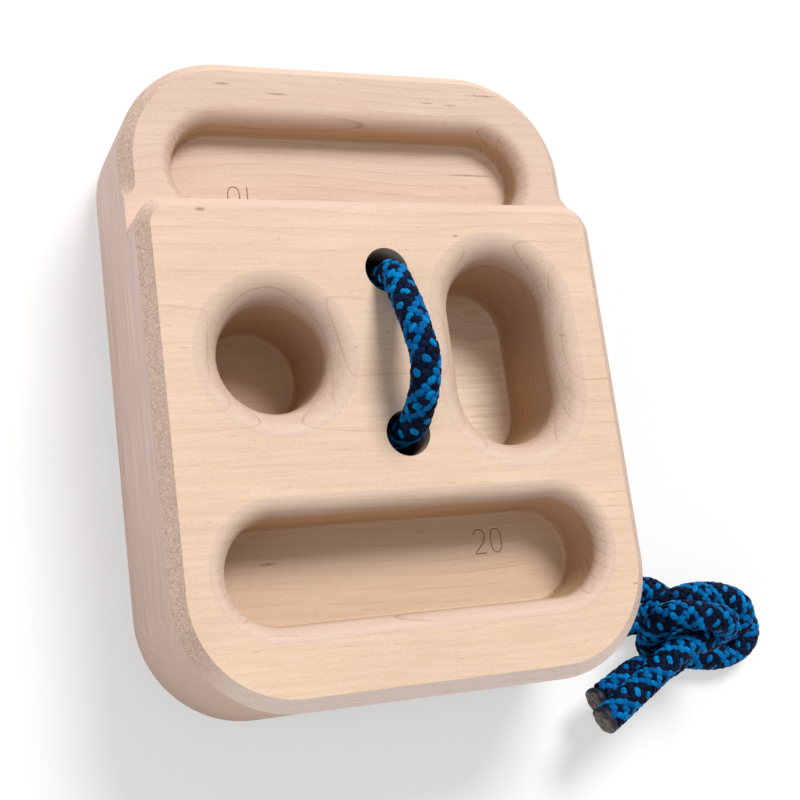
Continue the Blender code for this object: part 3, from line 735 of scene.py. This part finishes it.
def pocket_profile(wall, rim, depth):
    """Radius and height of a pocket's wall, from its floor to its rounded rim at height 0."""
    levels = []
    for k in range(FLOOR_STEPS + 1):
        a = math.radians(90 * k / FLOOR_STEPS)
        levels.append((
            wall - FLOOR_RADIUS * (1 - math.sin(a)), -depth + FLOOR_RADIUS * (1 - math.cos(a))
        ))
    for k in range(RIM_STEPS + 1):
        a = math.radians(90 * k / RIM_STEPS)
        levels.append((wall + rim * (1 - math.cos(a)), -rim * (1 - math.sin(a))))
    levels.append((wall + rim, rim))
    return levels


def pocket(name, centre, half_span, profile, mouth):
    """A pocket's cutter. Each level is a circle, or two half circles with straight sides."""
    lean = math.degrees(math.atan2(half_span.y, half_span.x))
    rings = []
    for radius, height in profile:
        far = arc(centre + half_span, radius, lean - 90, lean + 90, POCKET_STEPS)
        near = arc(centre - half_span, radius, lean + 90, lean + 270, POCKET_STEPS)
        if half_span.length == 0:
            far, near = far[:-1], near[:-1]
        rings.append([(x, y, mouth + height) for x, y in far + near])
    return lofted(name, rings)


def cropped(cutter, y):
    """Takes off what of the cutter lies below y, and closes it with a flat wall."""
    bm = bmesh.new()
    bm.from_mesh(cutter.data)
    geometry = bm.verts[:] + bm.edges[:] + bm.faces[:]
    bmesh.ops.bisect_plane(bm, geom=geometry, plane_co=(0, y, 0), plane_no=(0, -1, 0), clear_outer=True)
    bmesh.ops.holes_fill(bm, edges=[e for e in bm.edges if e.is_boundary])
    bmesh.ops.recalc_face_normals(bm, faces=bm.faces)
    bm.to_mesh(cutter.data)
    bm.free()


blank = flat_solid("blank", block_outline(), BACK, FACE)
step_cutter = flat_solid("step_cutter", step_outline(), LEDGE_FACE, FACE + 12 * MM)
cut(blank, step_cutter)
bm = bmesh.new()
bm.from_mesh(finished_mesh(blank))
bmesh.ops.dissolve_limit(bm, angle_limit=math.radians(0.2), verts=bm.verts, edges=bm.edges)
bevelled(bm, face_edges(bm, FACE, True), CHAMFER, 1)
bevelled(bm, face_edges(bm, BACK, False), BACK_EDGE, 3)
block = new_piece("grip_block")
bm.to_mesh(block.data)
bm.free()
cutters = [blank, step_cutter]

cutters.append(lofted("ledge_chamfer_cutter", [
    [(x, y, LEDGE_FACE + height) for x, y in ledge_chamfer_ring(BIT_RADIUS + height)]
    for height in (-CHAMFER - 0.5 * MM, 1 * MM)
]))
cut(block, cutters[-1])

finger_profile = pocket_profile(FINGER_RADIUS, FINGER_RIM, FINGER_DEPTH)
low_edge_profile = pocket_profile(EDGE_RADIUS, EDGE_RIM, LOW_EDGE_DEPTH)
high_edge_profile = pocket_profile(EDGE_RADIUS, EDGE_RIM, HIGH_EDGE_DEPTH)
finger_out = BLOCK_WIDTH / 2 - FINGER_SIDE_LAND - FINGER_RADIUS - FINGER_RIM
edge_rim_radius = EDGE_RADIUS + EDGE_RIM
edge_half = Vector((BLOCK_WIDTH / 2 - EDGE_SIDE_LAND - edge_rim_radius, 0))
low_edge_middle = Vector((0, BOTTOM_EDGE + LOW_EDGE_LAND + edge_rim_radius))
high_edge_middle = Vector((0, STEP_EDGE + EDGE_RADIUS - HIGH_EDGE_TUCK))
tall_half = Vector((0, TALL_HALF_SPAN))
pockets = (
    ("round_pocket", Vector((-finger_out, HOLES_MIDDLE)), Vector((0, 0)), finger_profile, FACE),
    ("tall_pocket", Vector((finger_out, HOLES_MIDDLE)), tall_half, finger_profile, FACE),
    ("low_edge", low_edge_middle, edge_half, low_edge_profile, FACE),
    ("high_edge", high_edge_middle, edge_half, high_edge_profile, LEDGE_FACE),
)
for name, centre, half_span, profile, mouth in pockets:
    cutters.append(pocket(name + "_cutter", centre, half_span, profile, mouth))
    if name == "high_edge":
        cropped(cutters[-1], STEP_EDGE)
    cut(block, cutters[-1])
for side in (1, -1):
    ring = arc((0, hole_middle(side)), HOLE_RADIUS, 0, 360, HOLE_SIDES)[:-1]
    cutters.append(flat_solid("hole_cutter", ring, BACK - 20 * MM, FACE + 20 * MM))
    cut(block, cutters[-1])

# The two edge grips are marked with their depth in millimetres, 20 and 10. The figures are
# burnt in as thin grooves, and the 10 reads from the block's other end. A figure's corners
# are given in shares of its width and height.
GROOVE = 0.22 * MM
GROOVE_ABOVE = 0.1 * MM
GROOVE_SPACING = 0.35 * MM
FIGURES = {
    "2": [
        (0, 0.78), (0.06, 0.9), (0.25, 0.99), (0.5, 1.0), (0.78, 0.95), (0.94, 0.82), (0.97, 0.66),
        (0.85, 0.5), (0.6, 0.33), (0.3, 0.17), (0.08, 0.06), (0.02, 0), (0.5, 0), (1, 0),
    ],
    "0": [
        (0.5, 0), (0.2, 0.06), (0.03, 0.27), (0, 0.5), (0.03, 0.73), (0.2, 0.94), (0.5, 1),
        (0.8, 0.94), (0.97, 0.73), (1, 0.5), (0.97, 0.27), (0.8, 0.06), (0.5, 0),
    ],
    "1": [(0.05, 0.78), (0.5, 1.0), (0.5, 0.5), (0.5, 0)],
}
LOW_EDGE_FLOOR, HIGH_EDGE_FLOOR = FACE - LOW_EDGE_DEPTH, LEDGE_FACE - HIGH_EDGE_DEPTH
burn = Paint("burnt_wood", Roughness=0.8)
burn_flecks = burn.span(burn.noise(burn.place(), 2500, 2.0), 0.35, 0.65)
burn.colour(burn.mix(burn_flecks, tint(112, 78, 52), tint(165, 128, 98)))
figure_places = (
    ("2", 25.0, -55.2, 3.6, 7.0, LOW_EDGE_FLOOR), ("0", 30.4, -55.2, 3.4, 7.0, LOW_EDGE_FLOOR),
    ("1", -30.0, 58.2, -2.4, -7.0, HIGH_EDGE_FLOOR), ("0", -33.6, 58.2, -3.6, -7.0, HIGH_EDGE_FLOOR),
)
for figure, x, y, wide, tall, pocket_floor in figure_places:
    corners = FIGURES[figure]
    closed = corners[0] == corners[-1]
    height = pocket_floor + GROOVE_ABOVE
    stroke = smooth_line(
        [(x * MM + u * wide * MM, y * MM + v * tall * MM, height) for u, v in corners], GROOVE_SPACING
    )
    stroke = stroke[:-1] if closed else stroke
    curve = bpy.data.curves.new("figure", "CURVE")
    curve.dimensions = "3D"
    curve.bevel_depth = GROOVE
    curve.bevel_resolution = 1
    curve.use_fill_caps = True
    spline = curve.splines.new("POLY")
    spline.use_cyclic_u = closed
    spline.points.add(len(stroke) - 1)
    for point, place in zip(spline.points, stroke):
        point.co = (*place, 1)
    drawn = bpy.data.objects.new("figure", curve)
    bpy.context.scene.collection.objects.link(drawn)
    groove = new_piece("groove_cutter")
    groove.data = finished_mesh(drawn)
    groove.data.materials.clear()
    groove.data.materials.append(burn.material)
    cut(block, groove).use_self = True
    cutters += [drawn, groove]


# The wood is bare. Its growth rings are arcs about a line in front of the face, which runs
# across the block as the grain does. They show as a few long lines on the face, and as close
# ones on the pocket walls and rims. What the cutters left is pinker than the sanded face.
RING = 2.5 * MM
RING_MIDDLE_Y = 3 * MM
RING_MIDDLE_Z = FACE + 51 * MM


def below_face(depth):
    return FACE - depth * MM


wood = Paint("maple", Roughness=0.6, Specular_IOR_Level=0.25)
spot = wood.parted(wood.nodes.new("ShaderNodeTexCoord").outputs["Object"])
facing = wood.parted(wood.nodes.new("ShaderNodeNewGeometry").outputs["Normal"])
across = wood.math("ABSOLUTE", facing["X"])

# The rings: how far out a spot is, and where it is in its ring
bend = wood.noise(wood.place((9, 6, 4)), 1.0, 1.0, 0.4)
dip = wood.noise(wood.place((14, 30, 20)), 1.0, 1.0, 0.5)
ring_y = wood.plus(spot["Y"], wood.times(wood.minus(bend, 0.5), 26 * MM))
ring_z = wood.plus(spot["Z"], wood.times(wood.minus(dip, 0.5), 5 * MM))
ring_y, ring_z = wood.minus(ring_y, RING_MIDDLE_Y), wood.minus(ring_z, RING_MIDDLE_Z)
ring_out = wood.math("SQRT", wood.plus(wood.times(ring_y, ring_y), wood.times(ring_z, ring_z)))
season = wood.math("FRACT", wood.over(ring_out, RING))
late_wood = wood.span(season, 0.45, 0.96)
ring_line = wood.times(wood.span(season, 0.91, 0.97), wood.span(season, 1.0, 0.98))

# The block's outer edge, against what lies inside it
sideways, lengthways = wood.math("ABSOLUTE", spot["X"]), wood.math("ABSOLUTE", spot["Y"])
outer = wood.most(
    wood.span(sideways, 60.5 * MM, 62 * MM), wood.span(lengthways, 80.5 * MM, 81.5 * MM)
)
outer = wood.most(outer, wood.span(wood.plus(sideways, lengthways), 136.5 * MM, 138.5 * MM))
inside = wood.minus(1.0, outer)

# What the cutters left: end grain, torn chamfers, pocket walls, rims and floors
end_grain = wood.span(across, 0.3, 0.95)
slanted = wood.times(wood.span(facing["Z"], 0.97, 0.85), wood.span(facing["Z"], 0.12, 0.35))
above_floors = wood.span(spot["Z"], below_face(18.4), below_face(18))
rough = wood.times(slanted, wood.span(across, 0.15, 0.6))
rough = wood.times(rough, wood.times(above_floors, wood.span(outer, 0.0, 1.0, 0.5, 1.0)))
routed = wood.most(
    wood.span(spot["Z"], below_face(0.15), below_face(0.4)), wood.span(facing["Z"], 0.9996, 0.998)
)
steep = wood.span(
    facing["Z"], wood.span(above_floors, 0.0, 1.0, 0.99, 0.6), wood.span(above_floors, 0.0, 1.0, 0.75, 0.15)
)
walls = wood.times(steep, inside)
from_step = wood.math("ABSOLUTE", wood.minus(spot["Y"], STEP_EDGE))
rims = wood.times(slanted, wood.times(inside, wood.math("GREATER_THAN", from_step, 4 * MM)))
below_step = wood.times(inside, wood.math("LESS_THAN", spot["Y"], STEP_EDGE))
deep_shaded = wood.times(below_step, wood.span(spot["Z"], below_face(14), below_face(19)))
deepest = wood.times(below_step, wood.span(spot["Z"], below_face(30), below_face(31)))
tall_floor_painted_light = wood.times(deepest, wood.math("GREATER_THAN", spot["X"], 0.0))
bottom = wood.times(outer, wood.span(spot["Y"], -20 * MM, -90 * MM))
lower_sides_painted_shade = wood.times(bottom, wood.span(facing["Z"], 0.5, 0.2, 0.0, 0.5))

# The grain's streaks and flecks, and the grit and crumbs of cut wood
streaks = wood.noise(wood.place((55, 1100, 1100)), 1.0, 3.0, 0.6)
clouds = wood.span(wood.noise(wood.place((16, 40, 40)), 1.0, 2.0, 0.5), 0.3, 0.7)
grit = wood.noise(wood.place(), 2100, 2.0, 0.7)
crumbs = wood.noise(wood.place(), 1500, 2.0, 0.6, 1.5)
fine_lines = wood.noise(wood.place((1600, 25, 1600)), 1.0, 2.0, 0.6)
flecks = wood.noise(wood.place((210, 2600, 2600)), 1.0, 1.0, 0.5)

# The face and the cut wood, then the pockets' floors, rims and walls, with painted shade deep in the lower
# pockets and on the walls, and painted light on the tall pocket's floor
sanded = wood.mix(clouds, tint(246, 217, 190), tint(238, 206, 180))
cut_wood = wood.mix(clouds, tint(237, 210, 191), tint(227, 198, 178))
wood_tone = wood.mix(routed, sanded, cut_wood)
# Painted shade: the lower pockets darken from 14 mm below the face downwards
wood_tone = wood.mix(wood.times(deep_shaded, 0.6), wood_tone, tint(208, 184, 154))
# Painted light: the tall pocket's floor is made paler, as if lit
wood_tone = wood.mix(tall_floor_painted_light, wood_tone, tint(255, 236, 214))
wood_tone = wood.mix(wood.times(rims, 0.4), wood_tone, tint(212, 184, 166))
# The pocket walls are darker brown, partly from their end grain and partly as painted shade, which reaches
# up the fillets too
wall_wood_and_shade = wood.mix(end_grain, tint(184, 151, 115), tint(158, 123, 89))
wood_tone = wood.mix(wood.times(walls, 0.8), wood_tone, wall_wood_and_shade)
streaks_shown = wood.times(wood.span(streaks, 0.4, 0.75), wood.span(deep_shaded, 0.0, 1.0, 0.3, 0.5))
wood_tone = wood.mix(streaks_shown, wood_tone, tint(206, 168, 138))

# The block's sides, with painted shade low down, the torn end grain on its chamfers, and painted light on
# the chamfers that face the bottom end
side_tone = wood.mix(wood.span(fine_lines, 0.35, 0.65), tint(232, 206, 196), tint(200, 172, 162))
wood_tone = wood.mix(wood.times(end_grain, outer), wood_tone, side_tone)
# Painted shade: the outer sides and the bottom end darken towards the bottom
wood_tone = wood.mix(lower_sides_painted_shade, wood_tone, tint(186, 156, 136))
crumb_tone = wood.mix(wood.span(crumbs, 0.38, 0.62), tint(180, 150, 130), tint(230, 204, 186))
# Painted light: the chamfers that face the bottom end are made pale, as if lit from there
bottom_chamfer_painted_light = wood.times(slanted, wood.times(outer, wood.span(facing["Y"], -0.3, -0.6)))
wood_tone = wood.mix(bottom_chamfer_painted_light, wood_tone, tint(254, 232, 220))
crumbs_shown = wood.times(rough, wood.span(bottom_chamfer_painted_light, 0.0, 1.0, 0.8, 0.2))
wood_tone = wood.mix(crumbs_shown, wood_tone, crumb_tone)

# The rings show faintly on the face, and plainly on the pocket walls and rims
rings_shown = wood.noise(wood.place((13, 55, 40)), 1.0, 1.0, 0.5)
rings_shown = wood.span(rings_shown, 0.47, 0.68, 0.03, 0.42)
rings_shown = wood.most(wood.most(rings_shown, wood.times(walls, 0.8)), wood.times(rims, 0.45))
wood_tone = wood.mix(wood.times(late_wood, 0.07), wood_tone, tint(190, 145, 108))
wood_tone = wood.mix(wood.times(ring_line, rings_shown), wood_tone, tint(198, 164, 136), "MULTIPLY")
wood_tone = wood.mix(wood.span(grit, 0.35, 0.65, 0.0, 0.16), wood_tone, tint(176, 142, 118))
wood_tone = wood.mix(wood.span(flecks, 0.72, 0.8, 0.0, 0.5), wood_tone, tint(150, 106, 76))

# A few gum marks are larger and darker: place and half size of each, in millimetres.
GUM_MARKS = (
    (-52.5, 42.2, 1.6, 0.6), (23, 35.3, 1.0, 0.35), (54, 5, 1.0, 0.3), (64.5, -69.8, 1.2, 0.25),
    (-38, -53, 2.6, 0.4), (-38.5, 86, 2.8, 0.4), (-22, 83.6, 4, 0.3), (26.5, 83.2, 2.4, 0.25),
    (34, 82.8, 3, 0.25), (45.5, 86.6, 6, 0.3), (43, 64, 9, 0.3),
)
ragged_y = wood.plus(spot["Y"], wood.times(wood.minus(crumbs, 0.5), 0.9 * MM))
marks = 0.0
for x, y, long, wide in GUM_MARKS:
    along = wood.over(wood.minus(spot["X"], x * MM), long * MM)
    aside = wood.over(wood.minus(ragged_y, y * MM), wide * MM)
    near = wood.plus(wood.times(along, along), wood.times(aside, aside))
    marks = wood.most(marks, wood.span(near, 1.2, 0.1))
marks = wood.times(marks, wood.span(facing["Z"], 0.5, 0.8, 0.0, 0.65))
wood_tone = wood.mix(marks, wood_tone, tint(142, 100, 70))

# Inside, the two rope holes are painted darker with depth, as shade.
hole_painted_shade = wood.span(spot["Z"], below_face(3), below_face(11), 0.1, 0.9)
for side in (1, -1):
    aside = wood.minus(spot["Y"], hole_middle(side))
    out_squared = wood.plus(wood.times(aside, aside), wood.times(spot["X"], spot["X"]))
    drilled = wood.math("LESS_THAN", out_squared, (HOLE_RADIUS + 0.1 * MM) ** 2)
    wood_tone = wood.mix(drilled, wood_tone, tint(232, 204, 178))
    wood_tone = wood.mix(wood.times(drilled, hole_painted_shade), wood_tone, tint(44, 34, 28))
wood.colour(wood_tone)
relief = wood.plus(wood.times(streaks, 0.25), wood.times(grit, 0.2))
relief = wood.plus(relief, wood.times(crumbs, wood.times(rough, 2.5)))
wood.bump(relief, 0.5, 0.12 * MM)

block.data.materials.append(wood.material)
block.data = finished_mesh(block)
block.data.name = "grip_block"
block.modifiers.clear()
for used in cutters:
    bpy.data.objects.remove(used)

# Edges that turn by more than this, and those round a flat face, stay crisp
CRISP = math.radians(24)
bm = bmesh.new()
bm.from_mesh(block.data)
for edge in bm.edges:
    flat = [face.normal.z > 0.99999 for face in edge.link_faces]
    edge.smooth = flat[0] == flat[-1] and edge.calc_face_angle(0) < CRISP
bm.to_mesh(block.data)
bm.free()
block.data.shade_smooth()
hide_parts("wood_block")
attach(block, "root")


# The block lies on a plain pale floor in soft light from above its top end. The world shows
# white to the camera, and the floor half so. That softens the shadow in the picture and
# leaves the light on the object as it is.
WHITE = (1, 1, 1, 1)
FLOOR_HALF = 3
FLOOR_SOFTENED = 0.5
SKY_ON_OBJECT, SKY_IN_PICTURE = 0.32, 1.0
floor = new_piece("floor", [
    (-FLOOR_HALF, -FLOOR_HALF, 0), (FLOOR_HALF, -FLOOR_HALF, 0), (FLOOR_HALF, FLOOR_HALF, 0),
    (-FLOOR_HALF, FLOOR_HALF, 0),
], [], [(0, 1, 2, 3)])
pale_floor = Paint("pale_floor", Roughness=0.9, Specular_IOR_Level=0.2, Base_Color=WHITE)
seen = pale_floor.nodes.new("ShaderNodeLightPath").outputs["Is Camera Ray"]
white = pale_floor.add("ShaderNodeEmission", Color=WHITE, Strength=1.0).outputs[0]
softened = pale_floor.nodes.new("ShaderNodeMixShader")
parts = (pale_floor.times(seen, FLOOR_SOFTENED), pale_floor.shader.outputs[0], white)
for socket, value in zip(softened.inputs, parts):
    pale_floor.plug(socket, value)
pale_floor.plug(pale_floor.nodes["Material Output"].inputs["Surface"], softened.outputs[0])
floor.data.materials.append(pale_floor.material)

world = bpy.data.worlds.new("studio")
bpy.context.scene.world = world
world.use_nodes = True
sky = Wiring(world.node_tree)
rays = sky.nodes.new("ShaderNodeLightPath").outputs
seen = sky.most(rays["Is Camera Ray"], sky.most(rays["Is Glossy Ray"], rays["Is Transmission Ray"]))
strength = sky.add("ShaderNodeMapRange", Value=seen, To_Min=SKY_ON_OBJECT, To_Max=SKY_IN_PICTURE)
background = sky.nodes["Background"].inputs
sky.plug(background["Color"], WHITE)
sky.plug(background["Strength"], strength.outputs[0])
for name, energy, spread, comes_from in (
    ("window", 2.65, 0.4, (0.26, 0.58, 0.77)), ("white_wall", 0.7, 1.3, (-0.85, -0.25, 0.25)),
):
    sun_data = bpy.data.lights.new(name, "SUN")
    sun_data.energy = energy
    sun_data.angle = spread
    sun = bpy.data.objects.new(name, sun_data)
    sun.rotation_euler = Vector(comes_from).to_track_quat("Z", "Y").to_euler()
    bpy.context.scene.collection.objects.link(sun)

bpy.context.scene.view_settings.view_transform = "Standard"

bpy.context.view_layer.update()
